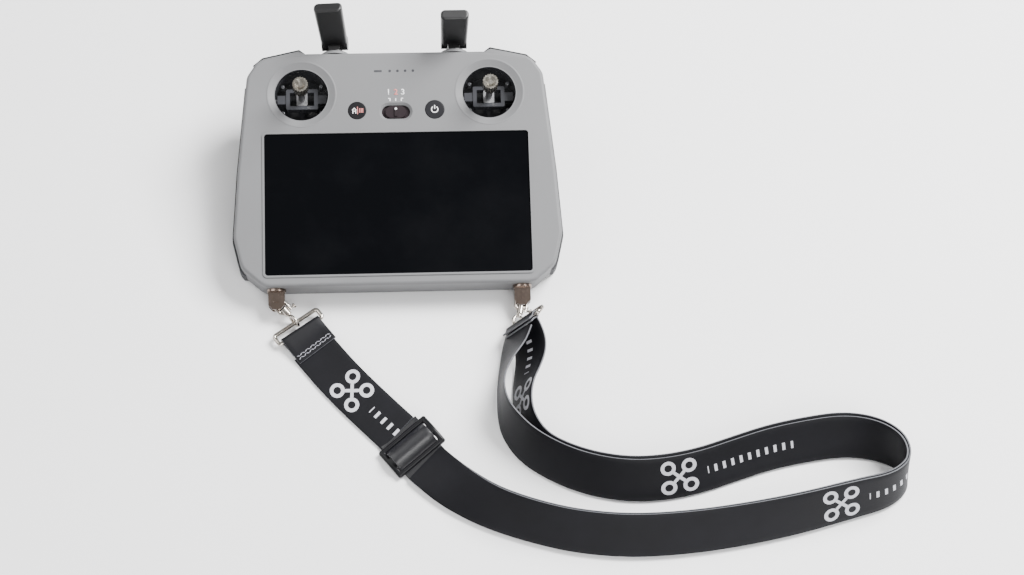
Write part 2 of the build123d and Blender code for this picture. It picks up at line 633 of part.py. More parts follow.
def outer_layer(rows):
    # the second layer lies against the first, on the outside of the neck loop and never below the table
    layer = []
    for before, row, after in zip(rows[:1] + rows, rows, rows[1:] + rows[-1:]):
        x, y, lift, lean_x, lean_y = row
        width_line = Vector(lean_x, lean_y, sqrt(1 - lean_x**2 - lean_y**2))
        run = Vector(after[0] - before[0], after[1] - before[1], 0)
        normal = width_line.cross(run).normalized()
        if normal.X * run.Y < normal.Y * run.X:
            normal = normal * -1
        shift = normal * layer_gap
        if shift.Z < 0:
            shift = shift - width_line * (shift.Z / width_line.Z)
        layer.append((x + shift.X, y + shift.Y, lift + shift.Z, lean_x, lean_y))
    return layer


def strap_stretch(route, step=5.0):
    # a flat band on edge: cross-sections stand square to the path and lean as the route says
    leans = [Vector(lx, ly, sqrt(1 - lx * lx - ly * ly)) for x, y, lift, lx, ly in route]
    points = [Vector(row[0], row[1], 0.8 + row[2] + strap_width / 2 * lean.Z) for row, lean in zip(route, leans)]
    radii = corner_radii(points)
    with BuildLine() as path:
        line = FilletPolyline(*points, radius=radii)
    runs = [0.0]
    for a, b in zip(points, points[1:]):
        runs.append(runs[-1] + (b - a).length)
    sections = max(4, round(line.length / step))
    with BuildPart() as band:
        for i in range(sections + 1):
            at = i / sections
            place = at * runs[-1]
            k = min(j for j in range(1, len(runs)) if place <= runs[j] + 1e-6)
            share = (place - runs[k - 1]) / (runs[k] - runs[k - 1])
            lean = leans[k - 1] * (1 - share) + leans[k] * share
            tangent = line % at
            width_line = (lean - tangent * lean.dot(tangent)).normalized()
            with BuildSketch(Plane(origin=line @ at, x_dir=width_line, z_dir=tangent)):
                Rectangle(strap_width, strap_thickness)
        loft(ruled=True)
    return band, line.length, radii


outer_route = outer_layer(inner_route)[:shared_points] + outer_tail
for name, route in (("strap_left", left_route), ("strap_inner", inner_route), ("strap_outer", outer_route)):
    band, length, radii = strap_stretch(route)
    expected = length * strap_width * strap_thickness
    print(f"{name}: length {length:.1f}, volume {band.part.volume:.0f} of {expected:.0f}, bend radii",
          [round(r, 1) for r in radii])
    save(band, name)
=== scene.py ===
from math import cos, pi, radians, sin, sqrt

import bmesh
import bpy
from mathutils import Matrix, Vector


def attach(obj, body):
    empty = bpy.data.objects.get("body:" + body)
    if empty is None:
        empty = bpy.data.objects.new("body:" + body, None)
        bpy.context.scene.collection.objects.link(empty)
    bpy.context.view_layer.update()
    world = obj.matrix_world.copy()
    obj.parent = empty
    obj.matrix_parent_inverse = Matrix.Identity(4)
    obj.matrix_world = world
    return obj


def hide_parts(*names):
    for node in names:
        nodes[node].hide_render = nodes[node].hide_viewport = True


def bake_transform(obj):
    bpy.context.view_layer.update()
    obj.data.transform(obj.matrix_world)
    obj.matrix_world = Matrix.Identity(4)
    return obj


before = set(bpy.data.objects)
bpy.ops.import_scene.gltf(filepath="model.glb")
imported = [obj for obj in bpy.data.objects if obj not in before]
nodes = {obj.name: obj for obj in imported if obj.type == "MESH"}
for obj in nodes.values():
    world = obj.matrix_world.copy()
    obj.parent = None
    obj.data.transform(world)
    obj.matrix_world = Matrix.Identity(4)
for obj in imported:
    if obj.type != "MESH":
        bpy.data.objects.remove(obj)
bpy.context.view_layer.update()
print("frame loaded,", len(nodes), "nodes")

# ---- the controller's face: a plane that leans back, with (u, v) on it and w out of it, in millimetres
face = {"tilt": radians(18), "edgeY": -61.35, "edgeZ": 16.5}
acrossFace = Vector((1, 0, 0))
upFace = Vector((0, cos(face["tilt"]), sin(face["tilt"])))
outOfFace = Vector((0, -sin(face["tilt"]), cos(face["tilt"])))


def onFace(u, v, w=0.0):
    edge = Vector((u, face["edgeY"], face["edgeZ"]))
    return (edge + upFace * v + outOfFace * w) / 1000


def axesMatrix(x, y, z, place):
    matrix = Matrix((x, y, z)).transposed().to_4x4()
    matrix.translation = place
    return matrix


def faceMatrix(u, v, w=0.0):
    # puts a flat millimetre drawing on the face
    return axesMatrix(acrossFace, upFace, outOfFace, onFace(u, v, w)) @ Matrix.Scale(0.001, 4)


# ---- camera
cameraSetup = {"place": (-0.0061, -0.7058, 1.0595), "azimuth": -5.61, "elevation": 58.3, "roll": 3.63,
               "lens": 85}


def addCamera(setup):
    azimuth, elevation, roll = (radians(setup[k]) for k in ("azimuth", "elevation", "roll"))
    back = Vector((sin(azimuth) * cos(elevation), -cos(azimuth) * cos(elevation), sin(elevation)))
    right = Vector((cos(azimuth), sin(azimuth), 0))
    up = back.cross(right)
    turnedRight = right * cos(roll) + up * sin(roll)
    turnedUp = up * cos(roll) - right * sin(roll)
    lens = bpy.data.cameras.new("camera")
    lens.lens = setup["lens"]
    lens.clip_start = 0.02
    camera = bpy.data.objects.new("camera", lens)
    bpy.context.scene.collection.objects.link(camera)
    camera.matrix_world = axesMatrix(turnedRight, turnedUp, back, Vector(setup["place"]))
    bpy.context.scene.camera = camera


addCamera(cameraSetup)
print("camera set")

# ---- small node helpers


def startMaterial(name, colour, roughness, **settings):
    material = bpy.data.materials.new(name)
    material.use_nodes = True
    shader = material.node_tree.nodes["Principled BSDF"]
    shader.inputs["Base Color"].default_value = (*colour, 1)
    shader.inputs["Roughness"].default_value = roughness
    for key, value in settings.items():
        shader.inputs[key].default_value = value
    return material, material.node_tree, shader


def coordinates(tree, kind="Object"):
    return tree.nodes.new("ShaderNodeTexCoord").outputs[kind]


def noise(tree, vector, scale, detail=3.0, roughness=0.55):
    node = tree.nodes.new("ShaderNodeTexNoise")
    node.inputs["Scale"].default_value = scale
    node.inputs["Detail"].default_value = detail
    node.inputs["Roughness"].default_value = roughness
    tree.links.new(vector, node.inputs["Vector"])
    return node.outputs["Fac"]


def remap(tree, value, fromLow, fromHigh, toLow, toHigh):
    node = tree.nodes.new("ShaderNodeMapRange")
    for key, number in zip(("From Min", "From Max", "To Min", "To Max"), (fromLow, fromHigh, toLow, toHigh)):
        node.inputs[key].default_value = number
    tree.links.new(value, node.inputs["Value"])
    return node.outputs["Result"]


def calc(tree, operation, *values):
    node = tree.nodes.new("ShaderNodeMath")
    node.operation = operation
    for socket, value in zip(node.inputs, values):
        if isinstance(value, (int, float)):
            socket.default_value = value
        else:
            tree.links.new(value, socket)
    return node.outputs["Value"]


def blendColours(tree, factor, first, second):
    node = tree.nodes.new("ShaderNodeMix")
    node.data_type = "RGBA"
    tree.links.new(factor, node.inputs["Factor"])
    for key, colour in (("A", first), ("B", second)):
        socket = [s for s in node.inputs if s.name == key and s.type == "RGBA"][0]
        if isinstance(colour, tuple):
            socket.default_value = (*colour, 1)
        else:
            tree.links.new(colour, socket)
    return [s for s in node.outputs if s.type == "RGBA"][0]


def bump(tree, shader, height, distance, strength):
    node = tree.nodes.new("ShaderNodeBump")
    node.inputs["Strength"].default_value = strength
    node.inputs["Distance"].default_value = distance
    tree.links.new(height, node.inputs["Height"])
    tree.links.new(node.outputs["Normal"], shader.inputs["Normal"])


def shade(colour, factor):
    return tuple(c * factor for c in colour)


# ---- finishes


def mouldedPlastic(name, colour, roughness, grain=1400, grainDepth=0.00006, spread=0.06, **settings):
    # spark-eroded mould texture, with faint patches where hands have polished it
    material, tree, shader = startMaterial(name, colour, roughness, **settings)
    place = coordinates(tree)
    patches = remap(tree, noise(tree, place, 28, 2), 0.3, 0.7, 0, 1)
    tree.links.new(blendColours(tree, patches, shade(colour, 1 - spread), shade(colour, 1 + spread)),
                   shader.inputs["Base Color"])
    tree.links.new(remap(tree, noise(tree, place, 60, 4), 0.3, 0.7, roughness - 0.06, roughness + 0.06),
                   shader.inputs["Roughness"])
    bump(tree, shader, noise(tree, place, grain, 2), grainDepth, 0.35)
    return material


dullGloss = {"Specular IOR Level": 0.18}


def softRubber(name, colour, dotScale=650):
    # close rows of small raised dots
    material, tree, shader = startMaterial(name, colour, 0.78)
    place = coordinates(tree)
    dots = tree.nodes.new("ShaderNodeTexVoronoi")
    dots.inputs["Scale"].default_value = dotScale
    dots.inputs["Randomness"].default_value = 0.15
    tree.links.new(place, dots.inputs["Vector"])
    raised = remap(tree, dots.outputs["Distance"], 0.15, 0.45, 1, 0)
    dust = remap(tree, noise(tree, place, 45, 4), 0.45, 0.75, 0, 0.6)
    tree.links.new(blendColours(tree, dust, colour, shade(colour, 1.7)), shader.inputs["Base Color"])
    bump(tree, shader, raised, 0.00018, 0.6)
    return material


def platedMetal(name, colour, roughness, tarnish=0.6):
    # thin plating: bright, with warm dark tarnish patches scattered by noise and fine handling marks
    material, tree, shader = startMaterial(name, colour, roughness, Metallic=1.0)
    place = coordinates(tree)
    patches = remap(tree, noise(tree, place, 260, 4), 0.42, 0.75, 0, tarnish)
    tree.links.new(blendColours(tree, patches, colour, (0.20, 0.15, 0.12)), shader.inputs["Base Color"])
    tree.links.new(remap(tree, noise(tree, place, 900, 3), 0.3, 0.8, roughness, roughness + 0.16),
                   shader.inputs["Roughness"])
    bump(tree, shader, noise(tree, place, 1500, 2), 0.00003, 0.25)
    return material


def turnedMetal(name, colour, roughness):
    material, tree, shader = startMaterial(name, colour, roughness, Metallic=1.0)
    place = coordinates(tree)
    grooves = tree.nodes.new("ShaderNodeTexWave")
    grooves.bands_direction = "Z"
    grooves.inputs["Scale"].default_value = 700
    grooves.inputs["Distortion"].default_value = 1.5
    tree.links.new(place, grooves.inputs["Vector"])
    tree.links.new(remap(tree, noise(tree, place, 500, 3), 0.35, 0.7, roughness, roughness + 0.2),
                   shader.inputs["Roughness"])
    bump(tree, shader, grooves.outputs["Fac"], 0.00004, 0.3)
    return material


def screenGlass(name):
    # black behind glass, with the faintest smears
    material, tree, shader = startMaterial(name, (0.0022, 0.0024, 0.003), 0.12)
    shader.inputs["Specular IOR Level"].default_value = 0.03
    place = coordinates(tree)
    smears = noise(tree, place, 18, 5, 0.6)
    tree.links.new(remap(tree, smears, 0.4, 0.75, 0.10, 0.24), shader.inputs["Roughness"])
    tree.links.new(blendColours(tree, remap(tree, smears, 0.45, 0.8, 0, 1), (0.0020, 0.0022, 0.0028),
                                (0.0040, 0.0042, 0.0050)), shader.inputs["Base Color"])
    return material


def paint(name, colour):
    # pad-printed ink
    material, tree, shader = startMaterial(name, colour, 0.5)
    wear = remap(tree, noise(tree, coordinates(tree), 2600, 2), 0.35, 0.7, 0, 0.25)
    tree.links.new(blendColours(tree, wear, colour, shade(colour, 0.7)), shader.inputs["Base Color"])
    return material


def boardFinish(name, colour):
    material, tree, shader = startMaterial(name, colour, 0.35)
    cells = tree.nodes.new("ShaderNodeTexBrick")
    cells.inputs["Scale"].default_value = 260
    cells.inputs["Mortar Size"].default_value = 0.03
    cells.inputs["Color1"].default_value = (*colour, 1)
    cells.inputs["Color2"].default_value = (*shade(colour, 0.7), 1)
    cells.inputs["Mortar"].default_value = (*shade(colour, 1.8), 1)
    tree.links.new(coordinates(tree), cells.inputs["Vector"])
    tree.links.new(cells.outputs["Color"], shader.inputs["Base Color"])
    return material


# ---- the strap's webbing: smooth polyester satin, printed in white
strap = {"width": 23.5, "thickness": 0.9, "clearance": 0.8, "columns": 8, "softenShare": 0.22,
         "cordWidths": 6}
# threads are counted per strap width, and the print is measured in strap widths
webbing = {
    # the edge colour is a painted highlight for the webbing's cut edges
    "colour": (0.0032, 0.0032, 0.0046), "edge": (0.11, 0.113, 0.125), "ink": (0.52, 0.52, 0.56),
    "ribs": 34, "ends": 30, "threadDepth": 0.00005,
    "motifReach": 0.23, "ringRadius": 0.125, "line": 0.04, "armHalf": 0.05, "armStop": 0.1,
    "rowFrom": 0.62, "rowTo": 2.55, "rowHalf": 0.085, "dashes": 5.2, "dashShare": 0.34,
}


def printMask(tree, along, across, start, direction):
    # a little drone sign, four rotor rings on a cross, and a row of dashes behind it
    ahead = calc(tree, "MULTIPLY", calc(tree, "SUBTRACT", along, start), direction)
    a = calc(tree, "ABSOLUTE", ahead)
    b = calc(tree, "ABSOLUTE", calc(tree, "SUBTRACT", across, 0.5))
    reach = webbing["motifReach"]
    fromRotorA = calc(tree, "SUBTRACT", a, reach)
    fromRotorB = calc(tree, "SUBTRACT", b, reach)
    squares = calc(tree, "ADD", calc(tree, "MULTIPLY", fromRotorA, fromRotorA),
                   calc(tree, "MULTIPLY", fromRotorB, fromRotorB))
    ring = calc(tree, "COMPARE", calc(tree, "SQRT", squares), webbing["ringRadius"], webbing["line"])
    arm = calc(tree, "MULTIPLY", calc(tree, "COMPARE", a, b, webbing["armHalf"]),
               calc(tree, "LESS_THAN", a, reach - webbing["armStop"]))
    sign = calc(tree, "MAXIMUM", ring, arm)
    inRow = calc(tree, "MULTIPLY", calc(tree, "GREATER_THAN", ahead, webbing["rowFrom"]),
                 calc(tree, "LESS_THAN", ahead, webbing["rowTo"]))
    inHeight = calc(tree, "LESS_THAN", b, webbing["rowHalf"])
    dash = calc(tree, "LESS_THAN", calc(tree, "FRACT", calc(tree, "MULTIPLY", ahead, webbing["dashes"])),
                webbing["dashShare"])
    row = calc(tree, "MULTIPLY", calc(tree, "MULTIPLY", inRow, inHeight), dash)
    return calc(tree, "MAXIMUM", sign, row)


def webbingFinish(name, prints, roughness=0.52, specular=0.18):
    colour = webbing["colour"]
    material, tree, shader = startMaterial(name, colour, roughness)
    shader.inputs["Specular IOR Level"].default_value = specular
    shader.inputs["Sheen Weight"].default_value = 0.05
    shader.inputs["Sheen Roughness"].default_value = 0.45
    shader.inputs["Sheen Tint"].default_value = (0.45, 0.45, 0.52, 1)
    split = tree.nodes.new("ShaderNodeSeparateXYZ")
    tree.links.new(coordinates(tree, "UV"), split.inputs["Vector"])
    along, across = split.outputs["X"], split.outputs["Y"]
    ribs = calc(tree, "SINE", calc(tree, "MULTIPLY", along, 2 * pi * webbing["ribs"]))
    ends = calc(tree, "SINE", calc(tree, "MULTIPLY", across, 2 * pi * webbing["ends"]))
    weave = calc(tree, "MULTIPLY", ribs, ends)
    patches = remap(tree, noise(tree, coordinates(tree), 55, 3), 0.35, 0.7, 0, 1)
    cloth = blendColours(tree, patches, shade(colour, 0.85), shade(colour, 1.35))
    cloth = blendColours(tree, remap(tree, weave, -1, 1, 0, 0.35), cloth, shade(colour, 1.8))
    mask = None
    for start, direction in prints:
        one = printMask(tree, along, across, start, direction)
        mask = one if mask is None else calc(tree, "MAXIMUM", mask, one)
    if mask is not None:
        cloth = blendColours(tree, mask, cloth, webbing["ink"])
    tree.links.new(cloth, shader.inputs["Base Color"])
    bump(tree, shader, weave, webbing["threadDepth"], 0.35)
    return material


def edgeHighlightFinish(name):
    # the ribbon's cut edges are given a pale grey with thread noise: a painted highlight along the webbing's
    # edges
    material, tree, shader = startMaterial(name, webbing["edge"], 0.7)
    threads = remap(tree, noise(tree, coordinates(tree), 1800, 2), 0.3, 0.7, 0, 1)
    tree.links.new(blendColours(tree, threads, shade(webbing["edge"], 0.55), webbing["edge"]),
                   shader.inputs["Base Color"])
    return material


def readLine(name, points):
    # a smooth curve through a list of control points, read back as points
    curve = bpy.data.curves.new(name, "CURVE")
    curve.dimensions = "3D"
    spline = curve.splines.new("NURBS")
    spline.points.add(len(points) - 1)
    for point, place in zip(spline.points, points):
        point.co = (*place, 1)
    spline.order_u = 3
    spline.use_endpoint_u = True
    curve.resolution_u = 12
    holder = bpy.data.objects.new(name, curve)
    bpy.context.scene.collection.objects.link(holder)
    bpy.context.view_layer.update()
    mesh = bpy.data.meshes.new_from_object(holder)
    places = [v.co.copy() for v in mesh.vertices]
    bpy.data.objects.remove(holder)
    bpy.data.meshes.remove(mesh)
    bpy.data.curves.remove(curve)
    return places


def addPiece(name, bm, *materials):
    mesh = bpy.data.meshes.new(name)
    bm.to_mesh(mesh)
    bm.free()
    piece = bpy.data.objects.new(name, mesh)
    bpy.context.scene.collection.objects.link(piece)
    for material in materials:
        mesh.materials.append(material)
    return piece


def raiseFaces(bm, height):
    # gives a flat drawing its thickness
    grown = bmesh.ops.extrude_face_region(bm, geom=bm.faces[:])
    lifted = [v for v in grown["geom"] if isinstance(v, bmesh.types.BMVert)]
    bmesh.ops.translate(bm, verts=lifted, vec=(0, 0, height))


def smoothFaces(bm):
    for bmFace in bm.faces:
        bmFace.smooth = True


def applyModifiers(piece):
    bpy.context.view_layer.update()
    seen = piece.evaluated_get(bpy.context.evaluated_depsgraph_get())
    mesh = bpy.data.meshes.new_from_object(seen)
    old = piece.data
    piece.modifiers.clear()
    piece.data = mesh
    bpy.data.meshes.remove(old)
    mesh.name = piece.name
    return piece


def layRibbon(name, places, leans, clothFinish, rimHighlightFinish, width=strap["width"]):
    # a grid laid along the line, its width along the lean, then given the webbing's thickness
    width, thickness = width / 1000, strap["thickness"] / 1000
    columns, last = strap["columns"], len(places) - 1
    bm = bmesh.new()
    bmesh.ops.create_grid(bm, x_segments=columns, y_segments=last, size=1)
    uvLayer = bm.loops.layers.uv.new("webbing")
    runs = [0.0]
    for a, b in zip(places, places[1:]):
        runs.append(runs[-1] + (b - a).length)
    spots = {}
    for vert in bm.verts:
        across = (vert.co.x + 1) / 2
        k = round((vert.co.y + 1) / 2 * last)
        tangent = (places[min(k + 1, last)] - places[max(k - 1, 0)]).normalized()
        widthLine = (leans[k] - tangent * leans[k].dot(tangent)).normalized()
        spots[vert] = (runs[k] / width, across)
        vert.co = places[k] + widthLine * ((across - 0.5) * (width - thickness))
    for bmFace in bm.faces:
        bmFace.smooth = True
        for loop in bmFace.loops:
            loop[uvLayer].uv = spots[loop.vert]
    piece = addPiece(name, bm, clothFinish, rimHighlightFinish)
    solid = piece.modifiers.new("thickness", "SOLIDIFY")
    solid.thickness = thickness
    solid.offset = 0
    solid.use_even_offset = True
    # the rim faces take the second material, the painted edge highlight
    solid.material_offset_rim = 1
    soften = piece.modifiers.new("soften", "BEVEL")
    soften.width = thickness * strap["softenShare"]
    soften.segments = 2
    soften.limit_method = "ANGLE"
    soften.angle_limit = radians(50)
    return applyModifiers(piece), runs[-1]


# each row is x, y and the lift off the table, in millimetres, and how far the width leans in x and in y
leftRoute = [
    (-44.6, -89.3, 0.0, 0.80, 0.57), (-36.5, -100.8, 0.0, 0.80, 0.56), (-28.0, -111.8, 0.0, 0.79, 0.56),
    (-18.5, -122.8, 0.0, 0.78, 0.57), (-10.0, -132.3, 0.0, 0.77, 0.58), (-2.6, -140.3, 0.0, 0.77, 0.58),
]
innerRoute = [
    (10.8, -157.1, 0.0, 0.76, 0.60), (19.0, -166.3, 0.0, 0.58, 0.70), (29.5, -175.7, 0.0, 0.34, 0.72),
    (43.0, -184.8, 0.0, 0.10, 0.66), (61.0, -192.3, 0.0, 0.0, 0.62), (82.0, -198.5, 0.0, 0.0, 0.62),
    (108.0, -201.8, 0.0, 0.0, 0.62), (136.0, -200.8, 0.0, 0.0, 0.61), (164.0, -197.3, 0.0, 0.0, 0.58),
    (192.0, -192.1, 0.0, 0.0, 0.52), (219.0, -185.1, 0.0, 0.0, 0.44), (235.5, -181.3, 0.0, 0.0, 0.36),
    (244.5, -174.6, 0.0, -0.06, 0.28), (245.8, -166.3, 0.0, -0.05, 0.25), (241.0, -158.6, 0.0, 0.0, 0.40),
    (230.5, -152.8, 0.0, 0.0, 0.55), (216.0, -150.6, 0.0, 0.0, 0.62), (198.0, -153.1, 0.0, 0.0, 0.62),
    (180.0, -156.9, 0.0, 0.0, 0.62), (163.0, -162.5, 0.0, 0.0, 0.62), (145.0, -168.7, 0.0, 0.0, 0.62),
    (127.0, -172.2, 0.0, 0.0, 0.62), (109.0, -172.7, 0.0, 0.0, 0.60), (90.5, -168.9, 0.0, 0.0, 0.58),
    (75.0, -162.1, 0.0, 0.0, 0.56), (61.5, -152.9, 0.0, 0.12, 0.50), (53.0, -141.8, 0.0, 0.18, 0.34),
    (49.2, -131.3, 0.0, 0.14, 0.12), (48.8, -120.3, 0.0, 0.10, -0.04), (51.6, -109.1, 0.0, 0.26, -0.04),
    (55.4, -99.3, 1.0, 0.48, -0.04), (58.0, -92.1, 2.6, 0.56, -0.06), (60.0, -86.9, 3.6, 0.56, -0.05),
]
outerTail = [
    (67.0, -153.9, 0.0, 0.12, 0.50), (61.4, -144.1, 0.0, 0.25, 0.36), (59.2, -133.3, 0.0, 0.34, 0.16),
    (59.9, -122.1, 0.0, 0.42, 0.04), (62.8, -110.9, 0.0, 0.58, 0.0), (65.2, -100.7, 1.0, 0.64, -0.02),
    (64.6, -92.3, 2.6, 0.62, -0.06), (62.2, -86.7, 3.6, 0.57, -0.05),
]
layers = {"shared": 25, "gap": 1.5}


def outerLayer(rows):
    # the second layer lies against the first, on the outside of the loop and never under the table
    layer = []
    for before, row, after in zip(rows[:1] + rows, rows, rows[1:] + rows[-1:]):
        x, y, lift, leanX, leanY = row
        widthLine = Vector((leanX, leanY, sqrt(1 - leanX**2 - leanY**2)))
        run = Vector((after[0] - before[0], after[1] - before[1], 0))
        normal = widthLine.cross(run).normalized()
        if normal.x * run.y < normal.y * run.x:
            normal = -normal
        shift = normal * layers["gap"]
        if shift.z < 0:
            shift -= widthLine * (shift.z / widthLine.z)
        layer.append((x + shift.x, y + shift.y, lift + shift.z, leanX, leanY))
    return layer


def strapPiece(name, rows, prints):
    leans = [Vector((row[3], row[4], sqrt(1 - row[3] ** 2 - row[4] ** 2))) for row in rows]
    heights = [strap["clearance"] + row[2] + strap["width"] / 2 * lean.z for row, lean in zip(rows, leans)]
    centres = [(row[0] / 1000, row[1] / 1000, height / 1000) for row, height in zip(rows, heights)]
    places = readLine(name + "Line", centres)
    turns = readLine(name + "Lean", leans)
    piece, length = layRibbon(name, places, turns, webbingFinish(name + "Cloth", prints), rimHighlightFinish)
    return piece, places, length


# the webbing's side faces all get the painted edge highlight
rimHighlightFinish = edgeHighlightFinish("webbingEdgeHighlight")
outerRoute = outerLayer(innerRoute)[:layers["shared"]] + outerTail
straps = {
    "strapLeft": {"rows": leftRoute, "prints": [(1.4, 1)], "node": "strap_left",
                  "blend": ("ring_left", "shell", (-0.0440, -0.0883, 0), (-0.0270, -0.1123, 0))},
    "strapInner": {"rows": innerRoute, "prints": [(16.1, -1)], "node": "strap_inner",
                   "blend": ("shell", "ring_right", (0.0500, -0.1233, 0), (0.0580, -0.0933, 0))},
    "strapOuter": {"rows": outerRoute, "prints": [(9.2, 1), (20.6, 1)], "node": "strap_outer",
                   "blend": ("shell", "ring_right", (0.0590, -0.1273, 0), (0.0650, -0.0933, 0))},
}
for strapName, facts in straps.items():
    band, centreLine, length = strapPiece(strapName, facts["rows"], facts["prints"])
    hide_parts(facts["node"])
    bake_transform(band)
print("straps laid")

# ---- where the webbing folds over each ring's bar
rings = {
    "left": {"centre": (-51.7, -77.87, 3.9), "long": (0.817, 0.575, 0.05), "short": (-0.575, 0.817, 0.05),
             "topLeg": 14.5, "underLeg": 9.2, "stitches": 13, "strapLean": (0.80, 0.57, 0.19)},
    "right": {"centre": (62.65, -81.9, 13.1), "long": (0.56, -0.04, 0.83), "short": (0.5, 0.82, -0.3),
              "topLeg": 5.2, "underLeg": 5.2, "stitches": 0, "strapLean": (0.56, -0.05, 0.83)},
}
fold = {"barOffset": 2.8, "radius": 1.65, "wrapFrom": 50, "wrapSteps": 16, "legGap": 0.62, "rise": 0.5,
        "topShares": (1.0, 0.8, 0.6, 0.45), "underShares": (0.55, 0.8, 1.0), "sewnAt": 0.8}
stitching = {"rows": (10.8, 12.4), "margin": 1.6, "run": 1.5, "slant": 0.9, "lift": 0.52,
             "shape": (0.00085, 0.00020, 0.00016), "thread": (0.36, 0.36, 0.40)}


def ringAxes(ring):
    barLine = Vector(ring["long"]).normalized()
    shortLine = Vector(ring["short"])
    shortLine = (shortLine - barLine * shortLine.dot(barLine)).normalized()
    top = barLine.cross(shortLine)
    if top.z < 0:
        top = -top
    return barLine, shortLine, top


def addFold(side, ring):
    barLine, shortLine, top = ringAxes(ring)
    bar = Vector(ring["centre"]) - shortLine * fold["barOffset"]
    shares = fold["topShares"]
    profile = [(ring["topLeg"] * share, fold["legGap"] + fold["rise"] * share) for share in shares]
    for step in range(fold["wrapSteps"] + 1):
        angle = radians(fold["wrapFrom"] + (360 - 2 * fold["wrapFrom"]) * step / fold["wrapSteps"])
        profile.append((fold["radius"] * cos(angle), fold["radius"] * sin(angle)))
    profile += [(ring["underLeg"] * share, -fold["legGap"]) for share in fold["underShares"]]
    places = [(bar - shortLine * along + top * height) / 1000 for along, height in profile]
    leans = [barLine.lerp(Vector(ring["strapLean"]), share).normalized() for share in shares]
    leans += [barLine] * (len(places) - len(shares))
    piece, _ = layRibbon("strapFold" + side.capitalize(), places, leans, foldCloth, rimHighlightFinish)
    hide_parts("strap_fold_" + side)
    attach(piece, "ring_" + side)
    sewnLine = leans[1]
    return bar, sewnLine, shortLine, sewnLine.cross(shortLine).normalized() * (1 if top.z > 0 else -1)


def addStitches(side, bar, barLine, shortLine, top, count):
    # two rows of slanted stitches that make a zigzag
    bm = bmesh.new()
    reach = strap["width"] / 2 - stitching["margin"]
    lift = fold["legGap"] + fold["rise"] * fold["sewnAt"] + stitching["lift"]
    for row, along in enumerate(stitching["rows"]):
        for k in range(count):
            across = -reach + 2 * reach * (k + 0.5) / count
            slant = stitching["slant"] if (k + row) % 2 else -stitching["slant"]
            run = (barLine * stitching["run"] + shortLine * slant).normalized()
            place = (bar + barLine * across - shortLine * along + top * lift) / 1000
            turn = axesMatrix(run, top.cross(run), top, place)
            made = bmesh.ops.create_uvsphere(bm, u_segments=8, v_segments=6, radius=1,
                                             matrix=turn @ stitchShape)
            for vert in made["verts"]:
                for stitchFace in vert.link_faces:
                    stitchFace.smooth = True
    piece = addPiece("stitching" + side.capitalize(), bm, paint("stitchThread", stitching["thread"]))
    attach(piece, "ring_" + side)


foldCloth = webbingFinish("foldCloth", [])
stitchShape = Matrix.Diagonal((*stitching["shape"], 1))
for side, ring in rings.items():
    foldFacts = addFold(side, ring)
    if ring["stitches"]:
        addStitches(side, *foldFacts, ring["stitches"])
print("folds sewn")

# ---- the buckle that sets the strap's length
buckle = {"centre": (4.3, -148.6, 5.1), "long": (0.78, 0.58, 0.24), "along": (0.6, -0.8, 0.0),
          "length": 29.5, "depth": 17.5, "thickness": 3.2, "rail": 2.75, "bars": (2.6, 5.2, 2.6),
          "crown": 1.6, "cutAt": 6, "soften": 1.1}
# the webbing over the middle bar, as (along the strap, height), from the slot on one side to the other
buckleLoop = {"width": 23.9, "profile": [
    (-12.0, -1.4), (-8.0, -1.0), (-5.6, 0.2), (-4.4, 2.4), (-2.6, 4.1), (0.0, 4.6),
    (2.6, 4.1), (4.4, 2.4), (5.6, 0.4), (8.0, -0.6), (12.0, -1.0),
]}


def buckleAxes():
    longLine = Vector(buckle["long"]).normalized()
    alongLine = Vector(buckle["along"])
    alongLine = (alongLine - longLine * alongLine.dot(longLine)).normalized()
    normal = longLine.cross(alongLine)
    if normal.z < 0:
        normal = -normal
    return longLine, alongLine, normal


